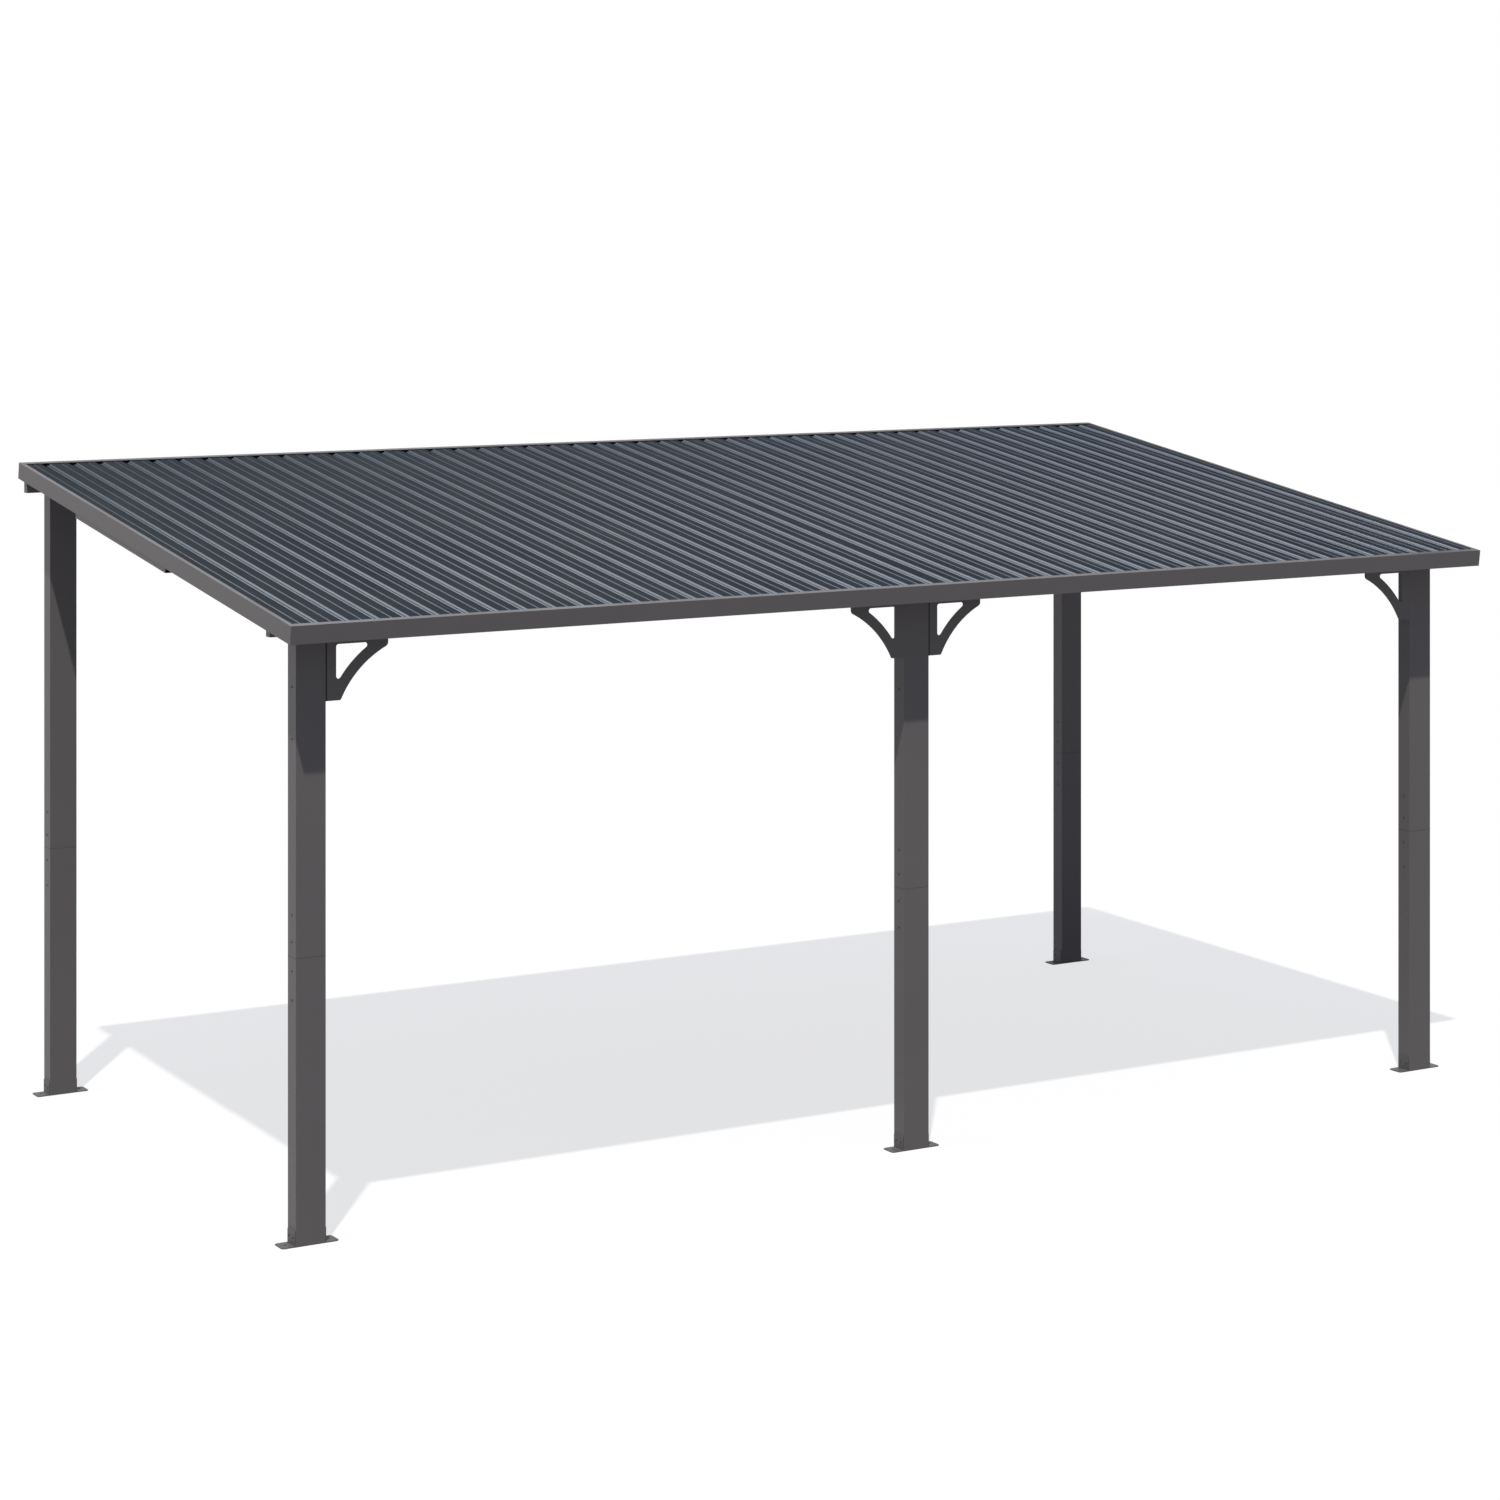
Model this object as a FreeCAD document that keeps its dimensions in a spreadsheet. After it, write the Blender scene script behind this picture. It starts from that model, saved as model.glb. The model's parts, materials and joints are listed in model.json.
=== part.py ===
# Lean-to hardtop gazebo: three front posts, two taller rear posts and one profiled metal roof plane.
# The long side lies along X, the roof rises towards +Y, and Z is up.
# The origin is on the ground, under the middle of the box round the whole gazebo.

import FreeCAD, Part
import math
import os
import re
import Sketcher

# Driving sizes in millimetres, and the roof's pitch in degrees.
SIZES = {
    "post_pitch": 2674,
    "post_row_spacing": 2648,
    "post_width": 120,
    "post_depth": 75,
    "post_wall": 2,
    "post_corner": 1,
    "bore_corner": 0.5,
    "joint_height": 1066,
    "sleeve_length": 380,
    "sleeve_wall": 2,
    "sleeve_clearance": 0.3,
    "roof_pitch": 8,
    "eave_height": 2320,
    "side_overhang": 109,
    "front_overhang": 207,
    "rear_overhang": 13,
    "fascia_height": 70,
    "fascia_sheet": 2,
    "front_flange": 32,
    "side_flange": 18,
    "rear_flange": 32,
    "seat_flange": 30,
    "panel_drop": 14.3,
    "header_width": 35,
    "front_header_height": 76.7,
    "rear_header_height": 99.7,
    "header_wall": 2,
    "header_end_gap": 5,
    "splice_length": 400,
    "splice_clearance": 0.3,
    "rafter_width": 40,
    "rafter_wall": 2,
    "purlin_width": 35,
    "purlin_depth": 74.7,
    "purlin_wall": 1.5,
    "front_purlin_set": 1020,
    "rear_purlin_set": 2028,
    "tie_width": 30,
    "panel_sheet": 0.8,
    "panel_count": 9,
    "pitches_per_panel": 5,
    "channel_edge": 108,
    "far_channel_edge": 98.6,
    "middle_pitch": 98.2,
    "channel_depth": 10.5,
    "channel_floor": 17,
    "channel_mouth": 41,
    "ledge_height": 4,
    "ledge_width": 5.5,
    "groove_set": 66,
    "groove_depth": 3,
    "groove_floor": 7.5,
    "groove_mouth": 11.5,
    "lap_lip": 10,
    "lap_gap": 1,
    "panel_clearance": 1,
    "brace_width": 254,
    "brace_height": 250,
    "brace_leg": 42,
    "brace_arm": 41,
    "brace_strip": 42,
    "brace_foot": 60,
    "brace_tip": 56,
    "brace_sheet": 4,
    "brace_flange": 28,
    "brace_radius": 395,
    "window_corner": 10,
    "brace_corner": 8,
    "brace_tip_corner": 18,
    "foot_length": 230,
    "foot_plate": 4,
    "foot_cheek": 3,
    "foot_cheek_height": 60,
    "foot_clearance": 0.3,
    "foot_corner": 8,
    "anchor_spacing": 175,
    "anchor_hole": 12,
}

# Sizes that follow from the driving ones.
WORKED = {
    "roof_length": "2 * (post_pitch + post_width / 2 + side_overhang)",
    "roof_depth": "(front_overhang + post_row_spacing + post_depth + rear_overhang)"
                  " / cos(roof_pitch)",
    "roof_plan": "roof_depth * cos(roof_pitch) + fascia_height * sin(roof_pitch)",
    "eave_y": "-roof_plan / 2",
    "front_face": "eave_y + front_overhang",
    "rear_face": "front_face + post_row_spacing",
    "panel_seat_fall": "panel_drop / cos(roof_pitch)",
    "front_post_top": "eave_height + front_overhang * tan(roof_pitch) - panel_seat_fall"
                      " - front_header_height",
    "rear_post_top": "eave_height + (front_overhang + post_row_spacing) * tan(roof_pitch)"
                     " - panel_seat_fall - rear_header_height",
    "header_reach": "roof_length / 2 - header_end_gap",
    "rafter_top": "eave_height + (front_overhang + header_width) * tan(roof_pitch)"
                  " - panel_seat_fall",
    "rafter_rise": "rafter_top - front_post_top",
    "rafter_skin": "rafter_wall / cos(roof_pitch)",
    "rafter_run": "post_row_spacing - header_width",
    "front_purlin_y": "(front_overhang + front_purlin_set) / cos(roof_pitch)",
    "rear_purlin_y": "(front_overhang + rear_purlin_set) / cos(roof_pitch)",
    "tie_face": "roof_length / 2 - fascia_sheet",
    "channel_pitch": "(roof_length - channel_edge - far_channel_edge - middle_pitch)"
                     " / (panel_count * pitches_per_panel - 1)",
    "floor_top": "-panel_drop + panel_sheet",
    "pan_top": "floor_top + channel_depth",
    "channel_slope": "((channel_mouth - channel_floor) / 2 - ledge_width) / channel_depth",
    "ledge_level": "floor_top + ledge_height",
    "ledge_foot": "channel_floor / 2 + ledge_height * channel_slope",
    "ledge_back": "ledge_foot + ledge_width",
    "channel_fold": "panel_sheet * tan(atan(1 / channel_slope) / 2)",
    "channel_skin": "panel_sheet / sin(atan(1 / channel_slope))",
    "groove_level": "pan_top - groove_depth",
    "groove_slope": "(groove_mouth - groove_floor) / 2 / groove_depth",
    "groove_fold": "panel_sheet * tan(atan(1 / groove_slope) / 2)",
    "panel_run": "roof_depth - 2 * fascia_sheet - 2 * panel_clearance",
    "panel_edge": "roof_length / 2 - fascia_sheet - panel_clearance",
    "brace_chord_x": "brace_width - brace_foot",
    "brace_chord_z": "brace_height - brace_tip",
    "brace_chord": "sqrt(brace_chord_x ^ 2 + brace_chord_z ^ 2)",
    "arch_reach": "sqrt(brace_radius ^ 2 - brace_chord ^ 2 / 4) / brace_chord",
    "arch_x": "(brace_foot + brace_width) / 2 + arch_reach * brace_chord_z",
    "arch_z": "brace_chord_z / 2 - arch_reach * brace_chord_x",
    "cheek_face": "post_width / 2 + foot_clearance",
}

DOC = FreeCAD.newDocument("gazebo")
SIZE = DOC.addObject("Spreadsheet::Sheet", "Size")
for row, (name, value) in enumerate(SIZES.items(), start=1):
    SIZE.set(f"A{row}", name)
    SIZE.set(f"B{row}", str(value))
    SIZE.setAlias(f"B{row}", name)
DOC.recompute()

PARTS = []


def full(text):
    """Write out an expression: worked sizes in brackets, driving sizes as cells of the sheet."""
    def swap(match):
        word = match.group(0)
        if word in WORKED:
            return "(" + full(WORKED[word]) + ")"
        if word in SIZES:
            return "Size." + word
        return word
    return re.sub(r"[a-z][a-z_]*", swap, text)


def number(text):
    """The value of an expression, in millimetres or degrees."""
    return float(SIZE.evalExpression(full(text)))


def bind(owner, path, text):
    owner.setExpression(path, full(text))


def new_body(name):
    """A body in the gazebo's own frame."""
    body = DOC.addObject("PartDesign::Body", name)
    body.Label = name
    PARTS.append(body)
    return body


def set_on_slope(piece):
    """Lay a piece in the roof's frame: origin on the front top edge, local Y up the slope."""
    piece.Placement = FreeCAD.Placement(
        FreeCAD.Vector(0, number("eave_y"), number("eave_height")),
        FreeCAD.Rotation(FreeCAD.Vector(1, 0, 0), number("roof_pitch")),
    )
    bind(piece, "Placement.Base.y", "eave_y")
    bind(piece, "Placement.Base.z", "eave_height")
    bind(piece, "Placement.Rotation.Angle", "roof_pitch")


def outline(body, name, plane, loops, lift="0"):
    """A sketch of closed straight-sided loops, each corner held by two bound distances."""
    sketch = body.newObject("Sketcher::SketchObject", name)
    origin_plane = next(p for p in body.Origin.OriginFeatures if p.Role == plane)
    sketch.AttachmentSupport = [(origin_plane, "")]
    sketch.MapMode = "FlatFace"
    bind(sketch, "AttachmentOffset.Base.z", lift)
    for loop in loops:
        first = sketch.GeometryCount
        count = len(loop)
        spots = [FreeCAD.Vector(number(x), number(y), 0) for x, y in loop]
        for i in range(count):
            sketch.addGeometry(Part.LineSegment(spots[i], spots[(i + 1) % count]), False)
        for i in range(count):
            sketch.addConstraint(
                Sketcher.Constraint("Coincident", first + i, 2, first + (i + 1) % count, 1)
            )
        for i, (x, y) in enumerate(loop):
            for kind, text, value in (("DistanceX", x, spots[i].x), ("DistanceY", y, spots[i].y)):
                held = sketch.addConstraint(
                    Sketcher.Constraint(kind, -1, 1, first + i, 1, value)
                )
                bind(sketch, f"Constraints[{held}]", text)
    return sketch


def hold(sketch, kind, item, spot, text):
    """Hold a curve's radius, or a point of it against the sketch's origin, at a bound size."""
    if spot is None:
        held = sketch.addConstraint(Sketcher.Constraint(kind, item, number(text)))
    else:
        held = sketch.addConstraint(Sketcher.Constraint(kind, -1, 1, item, spot, number(text)))
    bind(sketch, f"Constraints[{held}]", text)


def rectangle(left, low, right, high):
    return [(left, low), (right, low), (right, high), (left, high)]


def grow(body, kind, name, sketch, length, reverse=False):
    """A pad or pocket of a sketch, made the body's tip."""
    feature = body.newObject(f"PartDesign::{kind}", name)
    feature.Profile = sketch
    feature.Reversed = reverse
    bind(feature, "Length", length)
    body.Tip = feature
    DOC.recompute()
    return feature


def fillet_edges(body, name, chosen, radius):
    """Round the edges of the body's tip that the test picks."""
    base = body.Tip
    edges = [f"Edge{i}" for i, edge in enumerate(base.Shape.Edges, start=1) if chosen(edge)]
    feature = body.newObject("PartDesign::Fillet", name)
    feature.Base = (base, edges)
    bind(feature, "Radius", radius)
    body.Tip = feature
    DOC.recompute()
    return feature


def upright_at(x, y):
    """A test for edges that stand at plus or minus x and y in the body's own frame."""
    def test(edge):
        box = edge.BoundBox
        stands = box.XLength < 0.01 and box.YLength < 0.01
        return stands and abs(abs(box.XMin) - x) < 0.01 and abs(abs(box.YMin) - y) < 0.01
    return test


def make_tube(name, x, face, foot, length, inset, corner, wall):
    """An upright tube on a post's centre line, its faces inset from the post's outer ones."""
    body = DOC.addObject("PartDesign::Body", name)
    body.Label = name
    bind(body, "Placement.Base.x", x)
    bind(body, "Placement.Base.y", f"{face} + post_depth / 2")
    bind(body, "Placement.Base.z", foot)
    half_x = f"post_width / 2 - {inset}"
    half_y = f"post_depth / 2 - {inset}"
    outer = rectangle(f"-({half_x})", f"-({half_y})", half_x, half_y)
    inner = rectangle(f"-({half_x} - {wall})", f"-({half_y} - {wall})",
                      f"{half_x} - {wall}", f"{half_y} - {wall}")
    grow(body, "Pad", name + "_tube", outline(body, name + "_section", "XY_Plane", [outer, inner]),
         length)
    fillet_edges(body, name + "_outer_corners", upright_at(number(half_x), number(half_y)), corner)
    return body


def round_bore(body):
    """Round the inner corners of a post's extruded tube."""
    far_x = number("post_width / 2 - post_wall")
    far_y = number("post_depth / 2 - post_wall")
    fillet_edges(body, body.Label + "_inner_corners", upright_at(far_x, far_y), "bore_corner")
    PARTS.append(body)


def make_post(name, x, face, top):
    """A post of two extruded lengths, the lower one on its foot's plate, and their sleeve."""
    lower = make_tube(name + "_lower", x, face, "foot_plate", "joint_height - foot_plate",
                      "0", "post_corner", "post_wall")
    upper = make_tube(name + "_upper", x, face, "joint_height", f"{top} - joint_height",
                      "0", "post_corner", "post_wall")
    round_bore(lower)
    round_bore(upper)
    inset = "(post_wall + sleeve_clearance)"
    return make_tube(name + "_sleeve", x, face, "joint_height - sleeve_length / 2",
                     "sleeve_length", inset, "bore_corner", "sleeve_wall")


def gather(name, members):
    """Like pieces that don't touch, kept as one part."""
    group = DOC.addObject("Part::Compound", name)
    group.Label = name
    group.Links = members
    PARTS.append(group)


def make_foot(name, x, face):
    """A folded steel shoe: a plate with an anchor tab each side and two cheeks up the post."""
    body = new_body(name)
    bind(body, "Placement.Base.x", x)
    bind(body, "Placement.Base.y", f"{face} + post_depth / 2")
    end = "foot_length / 2"
    side = "post_depth / 2"
    plate = [
        (f"-{end} + foot_corner", f"-{side}"), (f"{end} - foot_corner", f"-{side}"),
        (end, f"-{side} + foot_corner"), (end, f"{side} - foot_corner"),
        (f"{end} - foot_corner", side), (f"-{end} + foot_corner", side),
        (f"-{end}", f"{side} - foot_corner"), (f"-{end}", f"-{side} + foot_corner"),
    ]
    grow(body, "Pad", name + "_plate", outline(body, name + "_plan", "XY_Plane", [plate]),
         "foot_plate")
    top = "foot_plate + foot_cheek_height"
    for label, sign in (("left", "-1"), ("right", "1")):
        cheek = [
            (f"-{side} + foot_corner / 2", "foot_plate"), (f"{side} - foot_corner / 2", "foot_plate"),
            (f"{side} - foot_corner / 2", f"{top} - foot_corner"),
            (f"{side} - foot_corner * 1.5", top),
            (f"-{side} + foot_corner * 1.5", top),
            (f"-{side} + foot_corner / 2", f"{top} - foot_corner"),
        ]
        middle = f"{sign} * (cheek_face + foot_cheek / 2) - foot_cheek / 2"
        sketch = outline(body, f"{name}_{label}_cheek_side", "YZ_Plane", [cheek], middle)
        grow(body, "Pad", f"{name}_{label}_cheek", sketch, "foot_cheek")
    holes = body.newObject("Sketcher::SketchObject", name + "_anchor_plan")
    plane = next(p for p in body.Origin.OriginFeatures if p.Role == "XY_Plane")
    holes.AttachmentSupport = [(plane, "")]
    holes.MapMode = "FlatFace"
    for i, sign in enumerate((-1, 1)):
        spot = FreeCAD.Vector(sign * number("anchor_spacing / 2"), 0, 0)
        holes.addGeometry(Part.Circle(spot, FreeCAD.Vector(0, 0, 1), number("anchor_hole / 2")))
        hold(holes, "Radius", i, None, "anchor_hole / 2")
        hold(holes, "DistanceX", i, 3, f"{sign} * anchor_spacing / 2")
        hold(holes, "DistanceY", i, 3, "0")
    grow(body, "Pocket", name + "_anchor_holes", holes, "foot_plate", reverse=True)


def make_header(name, side, face, post_top, height):
    """Half of a level header tube, from the gazebo's middle to a closed end by the side fascia."""
    body = new_body(name)
    bind(body, "Placement.Base.y", f"{face} + header_width / 2")
    bind(body, "Placement.Base.z", post_top)
    near = "header_width / 2"
    outer = outline(body, name + "_outer", "YZ_Plane",
                    [rectangle(f"-{near}", "0", near, height)])
    grow(body, "Pad", name + "_tube", outer, "header_reach", reverse=side < 0)
    hollow = outline(body, name + "_hollow_section", "YZ_Plane", [rectangle(
        f"-{near} + header_wall", "header_wall", f"{near} - header_wall",
        f"{height} - header_wall")])
    solid = body.Tip.Shape.Volume
    grow(body, "Pocket", name + "_hollow", hollow, "header_reach - header_wall", reverse=side > 0)
    if body.Tip.Shape.Volume > 0.5 * solid:
        raise RuntimeError(f"{name}: the hollow was not cut")


def make_splice(name, face, post_top, height):
    """The sleeve inside the rear header, which joins its halves where no post stands below."""
    body = new_body(name)
    bind(body, "Placement.Base.y", f"{face} + header_width / 2")
    bind(body, "Placement.Base.z", post_top)
    near = "header_width / 2 - header_wall - splice_clearance"
    low = "header_wall + splice_clearance"
    loops = [
        rectangle(f"-({near})", low, near, f"{height} - ({low})"),
        rectangle(f"-({near} - header_wall)", f"{low} + header_wall",
                  f"{near} - header_wall", f"{height} - ({low} + header_wall)"),
    ]
    grow(body, "Pad", name + "_sleeve",
         outline(body, name + "_section", "YZ_Plane", loops, "-splice_length / 2"),
         "splice_length")


def make_rafter(name, x):
    """A sloping tube with plumb-cut ends, butted between the two headers over a line of posts."""
    body = new_body(name)
    bind(body, "Placement.Base.x", x)
    bind(body, "Placement.Base.y", "front_face + header_width")
    bind(body, "Placement.Base.z", "front_post_top")
    half = "rafter_width / 2"
    section = outline(body, name + "_section", "XZ_Plane", [
        rectangle(f"-{half}", "0", half, "rafter_rise"),
        rectangle(f"-{half} + rafter_wall", "rafter_skin", f"{half} - rafter_wall",
                  "rafter_rise - rafter_skin"),
    ])
    tube = body.newObject("PartDesign::Pad", name + "_tube")
    tube.Profile = section
    tube.UseCustomVector = True
    tube.AlongSketchNormal = True
    pitch = FreeCAD.Rotation(FreeCAD.Vector(1, 0, 0), number("roof_pitch"))
    tube.Direction = pitch.multVec(FreeCAD.Vector(0, 1, 0))
    bind(tube, "Length", "rafter_run")
    body.Tip = tube
    DOC.recompute()
    return tube


def make_purlin(name, side, low_edge):
    """A tube along X between two rafters, its top face under the roof sheets."""
    body = DOC.addObject("PartDesign::Body", name)
    body.Label = name
    set_on_slope(body)
    start = "rafter_width / 2" if side > 0 else "-post_pitch + rafter_width / 2"
    loops = [
        rectangle(low_edge, "-panel_drop - purlin_depth", f"{low_edge} + purlin_width",
                  "-panel_drop"),
        rectangle(f"{low_edge} + purlin_wall", "-panel_drop - purlin_depth + purlin_wall",
                  f"{low_edge} + purlin_width - purlin_wall", "-panel_drop - purlin_wall"),
    ]
    grow(body, "Pad", name + "_tube", outline(body, name + "_section", "YZ_Plane", loops, start),
         "post_pitch - rafter_width")
    return body


def make_outrigger(name, side):
    """The welded end frame: two purlin stubs outside the rafter and the tie across their ends."""
    body = new_body(name)
    set_on_slope(body)
    low = "-panel_drop - purlin_depth"
    tie_start = "tie_face - tie_width" if side > 0 else "-tie_face"
    tie = rectangle("front_purlin_y", low, "rear_purlin_y", "-panel_drop")
    grow(body, "Pad", name + "_tie", outline(body, name + "_tie_side", "YZ_Plane", [tie], tie_start),
         "tie_width")
    wall = "purlin_wall"
    bore = rectangle(f"-tie_face + {wall}" if side < 0 else f"tie_face - tie_width + {wall}",
                     f"{low} + {wall}",
                     f"-tie_face + tie_width - {wall}" if side < 0 else f"tie_face - {wall}",
                     f"-panel_drop - {wall}")
    full_volume = body.Tip.Shape.Volume
    grow(body, "Pocket", name + "_tie_hollow",
         outline(body, name + "_tie_bore", "XZ_Plane", [bore], "-rear_purlin_y"),
         "rear_purlin_y - front_purlin_y", reverse=True)
    if body.Tip.Shape.Volume > 0.5 * full_volume:
        raise RuntimeError(f"{name}: the tie was not made hollow")
    start = "post_pitch + rafter_width / 2" if side > 0 else "-tie_face + tie_width"
    for label, near in (("front", "front_purlin_y"), ("rear", "rear_purlin_y - purlin_width")):
        loops = [
            rectangle(near, low, f"{near} + purlin_width", "-panel_drop"),
            rectangle(f"{near} + {wall}", f"{low} + {wall}",
                      f"{near} + purlin_width - {wall}", f"-panel_drop - {wall}"),
        ]
        grow(body, "Pad", f"{name}_{label}_stub",
             outline(body, f"{name}_{label}_stub_section", "YZ_Plane", loops, start),
             "tie_face - tie_width - post_pitch - rafter_width / 2")


def make_front_or_rear_fascia(name, edge, inward, flange):
    """A folded trim along X: a web, the flange over the ends of the sheets and the seat under them."""
    body = new_body(name)
    set_on_slope(body)

    def at(distance):
        return f"{edge} + {inward} * ({distance})"

    profile = [
        (at("0"), "0"), (at(flange), "0"), (at(flange), "-fascia_sheet"),
        (at("fascia_sheet"), "-fascia_sheet"), (at("fascia_sheet"), "-panel_drop"),
        (at("seat_flange"), "-panel_drop"), (at("seat_flange"), "-panel_drop - fascia_sheet"),
        (at("fascia_sheet"), "-panel_drop - fascia_sheet"), (at("fascia_sheet"), "-fascia_height"),
        (at("0"), "-fascia_height"),
    ]
    grow(body, "Pad", name + "_fold",
         outline(body, name + "_profile", "YZ_Plane", [profile], "-roof_length / 2 + fascia_sheet"),
         "roof_length - 2 * fascia_sheet")


def make_side_fascia(name, side):
    """A folded trim down the slope: a full-length web and a flange between the other trims' flanges."""
    body = new_body(name)
    set_on_slope(body)
    start = "roof_length / 2 - fascia_sheet" if side > 0 else "-roof_length / 2"
    web = rectangle("0", "-fascia_height", "roof_depth", "0")
    grow(body, "Pad", name + "_web", outline(body, name + "_web_side", "YZ_Plane", [web], start),
         "fascia_sheet")
    low = "front_flange"
    high = "roof_depth - rear_flange"
    flange = rectangle(low, "-fascia_sheet", high, "0")
    start = "roof_length / 2 - side_flange" if side > 0 else "-roof_length / 2 + fascia_sheet"
    grow(body, "Pad", name + "_flange",
         outline(body, name + "_flange_side", "YZ_Plane", [flange], start),
         "side_flange - fascia_sheet")


def groove(middle):
    """The upper corners and lower corners of a pan's small stiffening groove, left to right."""
    corners = (("-", "groove_mouth / 2", "pan_top"), ("-", "groove_floor / 2", "groove_level"),
               ("+", "groove_floor / 2", "groove_level"), ("+", "groove_mouth / 2", "pan_top"))
    upper = [(f"{middle} {side} {reach}", level) for side, reach, level in corners]
    lower = [(f"{middle} {side} ({reach} + groove_fold)", f"{level} - panel_sheet")
             for side, reach, level in corners]
    return upper, lower


def stepped_web(channel, side, shift="", lift=""):
    """The four corners of a channel's web, from the pan down over the ledge to the floor."""
    corners = (("channel_mouth / 2", "pan_top"), ("ledge_back", "ledge_level"),
               ("ledge_foot", "ledge_level"), ("channel_floor / 2", "floor_top"))
    return [(f"{channel} {side} ({reach} {shift})", f"{level} {lift}") for reach, level in corners]


def falling_web(channel):
    """From the pan down a channel's left web to the middle of its floor."""
    upper = [*stepped_web(channel, "-"), (channel, "floor_top")]
    lower = [*stepped_web(channel, "-", "+ channel_fold", "- panel_sheet"),
             (channel, "floor_top - panel_sheet")]
    return upper, lower


def rising_web(channel):
    """From the middle of a channel's floor up its right web to the pan."""
    upper = [(channel, "floor_top"), *stepped_web(channel, "+")[::-1]]
    lower = [(channel, "floor_top - panel_sheet"),
             *stepped_web(channel, "+", "+ channel_fold", "- panel_sheet")[::-1]]
    return upper, lower


def lapping_channel(channel):
    """The channel that nests in the last channel of the sheet before, with a lip on its pan."""
    lip = f"{channel} - channel_mouth / 2 - lap_lip"
    upper = [
        (lip, "pan_top + panel_sheet"),
        *stepped_web(channel, "-", "- channel_fold", "+ panel_sheet"),
        *stepped_web(channel, "+", "- channel_fold", "+ panel_sheet")[:0:-1],
        (f"{channel} + channel_mouth / 2 - channel_skin", "pan_top"),
    ]
    lower = [
        (lip, "pan_top"),
        *stepped_web(channel, "-"),
        *stepped_web(channel, "+")[:0:-1],
        (f"{channel} + channel_mouth / 2 - panel_sheet * channel_slope", "pan_top - panel_sheet"),
    ]
    return upper, lower


def lapped_end(channel):
    """The right half of a sheet's last channel, whose web stops short of its neighbour's pan."""
    level = "pan_top - panel_sheet - lap_gap"
    rim = f"{channel} + channel_mouth / 2 - (panel_sheet + lap_gap) * channel_slope"
    upper = [(channel, "floor_top"), *stepped_web(channel, "+")[:0:-1], (rim, level)]
    lower = [(channel, "floor_top - panel_sheet"),
             *stepped_web(channel, "+", "+ channel_fold", "- panel_sheet")[:0:-1],
             (f"{rim} + channel_skin", level)]
    return upper, lower


def closed_loop(*pieces):
    """One outline from stretches given left to right: along the top, then back underneath."""
    upper = [point for piece in pieces for point in piece[0]]
    lower = [point for piece in pieces for point in piece[1]]
    return upper + lower[::-1]


def add_sheet(body, name, loop):
    """Pad one stretch of the sheet's profile up the slope."""
    sketch = outline(body, name + "_profile", "XZ_Plane", [loop],
                     "-fascia_sheet - panel_clearance")
    return grow(body, "Pad", name, sketch, "panel_run", reverse=True)


def repeat(body, name, feature, count, spacing):
    """Repeat a feature along X."""
    pattern = body.newObject("PartDesign::LinearPattern", name)
    pattern.Originals = [feature]
    axis = next(a for a in body.Origin.OriginFeatures if a.Role == "X_Axis")
    pattern.Direction = (axis, [""])
    bind(pattern, "Length", f"({spacing}) * ({count} - 1)")
    bind(pattern, "Occurrences", count)
    body.Tip = pattern
    DOC.recompute()
    return pattern


def channel_at(index, last_left):
    """The middle line of a channel counted from the left, with one narrower pitch at the middle."""
    cut = " - channel_pitch + middle_pitch" if index > last_left else ""
    return f"(-roof_length / 2 + channel_edge + {index} * channel_pitch{cut})"


def add_pitches(body, name, channel, count):
    """A run of equal pitches from a channel on, each with a groove along its pan."""
    unit = closed_loop(rising_web(channel), groove(f"({channel} + groove_set)"),
                       falling_web(f"({channel} + channel_pitch)"))
    pitch = add_sheet(body, name, unit)
    if count > 1:
        repeat(body, name + "_run", pitch, str(count), "channel_pitch")


def make_panel(index, count):
    """One roll-formed sheet of the roof, whose first channel nests in the sheet before."""
    name = f"roof_panel_{index + 1}"
    body = new_body(name)
    set_on_slope(body)
    pitches = round(number("pitches_per_panel"))
    last_left = count * pitches // 2
    start = index * pitches
    lines = [channel_at(start + i, last_left) for i in range(pitches + 1)]
    if index == 0:
        near = 0
        verge = closed_loop(([("-panel_edge", "pan_top")], [("-panel_edge", "pan_top - panel_sheet")]),
                            groove(f"({lines[0]} - channel_pitch + groove_set)"),
                            falling_web(lines[0]))
        add_sheet(body, name + "_verge", verge)
    else:
        near = 1
        lap = closed_loop(lapping_channel(lines[0]), groove(f"({lines[0]} + groove_set)"),
                          falling_web(lines[1]))
        add_sheet(body, name + "_lap", lap)
    short = last_left - start
    if near < short < pitches:
        add_pitches(body, name + "_pitch", lines[near], short - near)
        add_sheet(body, name + "_middle_pitch",
                  closed_loop(rising_web(lines[short]), falling_web(lines[short + 1])))
        add_pitches(body, name + "_far_pitch", lines[short + 1], pitches - short - 1)
    else:
        add_pitches(body, name + "_pitch", lines[near], pitches - near)
    if index < count - 1:
        add_sheet(body, name + "_underlap", closed_loop(lapped_end(lines[-1])))
    else:
        verge = closed_loop(rising_web(lines[-1]), groove(f"({lines[-1]} + groove_set)"),
                            ([("panel_edge", "pan_top")], [("panel_edge", "pan_top - panel_sheet")]))
        add_sheet(body, name + "_verge", verge)


def along_y_at(x, z, near=0.5):
    """A test for short edges along Y that stand at plus or minus x, and at z."""
    def test(edge):
        box = edge.BoundBox
        lies = box.XLength < 0.01 and box.ZLength < 0.01
        return lies and abs(abs(box.XMin) - x) < near and abs(box.ZMin - z) < near
    return test


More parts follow.
